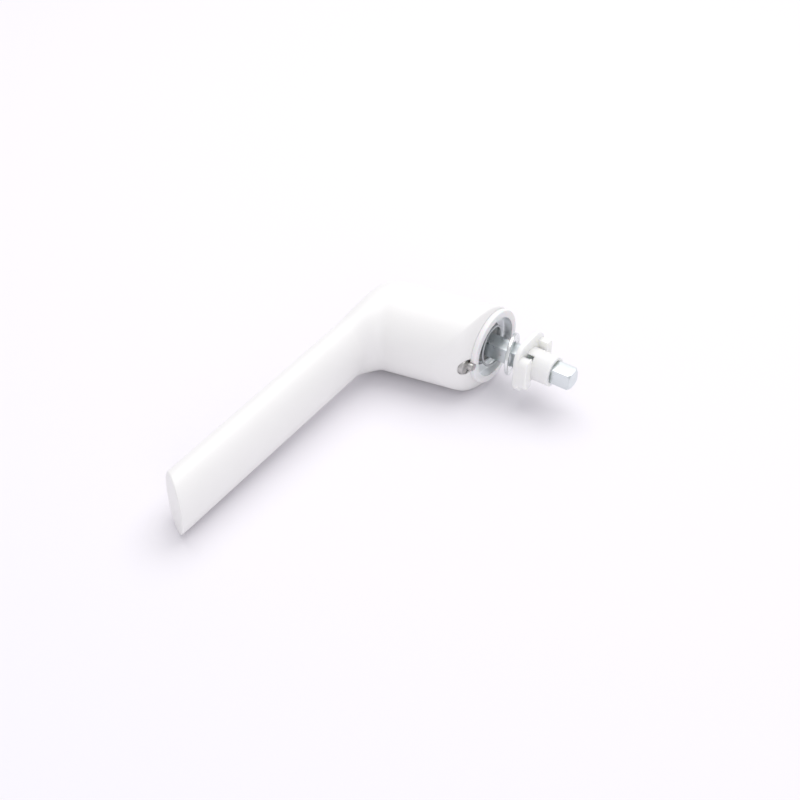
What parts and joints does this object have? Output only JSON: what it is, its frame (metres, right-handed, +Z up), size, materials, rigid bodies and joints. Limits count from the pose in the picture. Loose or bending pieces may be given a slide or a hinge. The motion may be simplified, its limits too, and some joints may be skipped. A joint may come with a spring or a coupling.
{
  "type": "tilt turn window handle",
  "caption": "Window handle with a leaning round neck, flat oval grip, square spindle, pressure spring, loose washer and a lugged bush for the sash.",
  "frame": {"origin": "spindle axis at the ring's face, which meets the sash", "axes": "+Y along the spindle into the sash, +X towards the grip's tip (down when fitted and closed), +Z up as the handle lies on a table"},
  "size_m": [0.1623, 0.0923, 0.0372],
  "materials": {
    "white_lacquer": "satin white powder coat on die-cast aluminium",
    "white_nylon": "fine satin moulded",
    "zinc_plate_cup": "zinc plated, pressed",
    "spring_wire": "drawn and zinc plated",
    "zinc_plate_bar": "zinc plated, drawn",
    "sintered_steel": "sintered, dull",
    "bright_pin": "ground",
    "zinc_plate_screw": "zinc plated",
    "zinc_plate_washer": "zinc plated, stamped",
    "clear_nylon": "natural nylon, slightly translucent"
  },
  "bodies": {
    "sash_bush": {"sash_bush": "clear_nylon"},
    "washer": {"spindle_washer": "zinc_plate_washer"},
    "lever": {"lever_shell": "white_lacquer", "collar_ring": "white_nylon", "bearing_cup": "zinc_plate_cup", "pressure_spring": "spring_wire", "spindle": "zinc_plate_bar", "spindle_socket": "sintered_steel", "spindle_cross_pin": "bright_pin", "ring_key_screw": "zinc_plate_screw"}
  },
  "joints": [
    {"name": "spindle_slide", "type": "slide", "parent": "sash_bush", "child": "washer", "axis": [0, 1, 0], "range_m": [-0.008, 0.0034]},
    {"name": "lever_turn", "type": "hinge", "parent": "washer", "child": "lever", "pos_m": [0, 0, 0], "axis": [0, -1, 0], "range_deg": [0, 180]}
  ]
}
